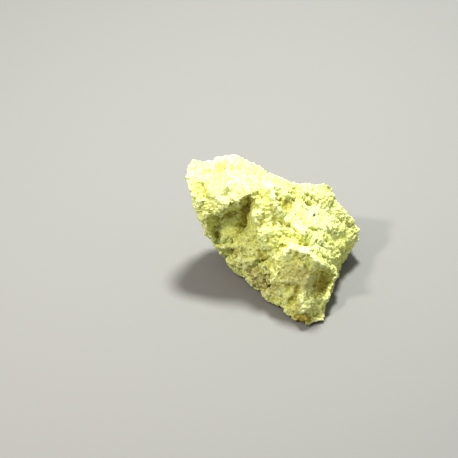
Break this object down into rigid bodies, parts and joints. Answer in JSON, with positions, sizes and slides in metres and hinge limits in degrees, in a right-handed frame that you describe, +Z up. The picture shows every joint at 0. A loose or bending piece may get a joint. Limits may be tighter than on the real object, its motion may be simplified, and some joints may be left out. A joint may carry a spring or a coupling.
{
  "type": "native sulfur specimen",
  "caption": "Rough broken block of pale yellow native sulfur with a flat-topped upper slab, a deep recess and a sloping side, resting on a worn flat underside.",
  "frame": {"origin": "on the ground under the middle of the block's plan", "axes": "+Z up from the flat underside, -Y towards the viewer, +X along the block's width to the low end"},
  "size_m": [0.0703, 0.0583, 0.0481],
  "materials": {
    "sulfur": "matte, finely granular"
  },
  "bodies": {
    "root": {"sulfur_block": "sulfur"}
  },
  "joints": []
}
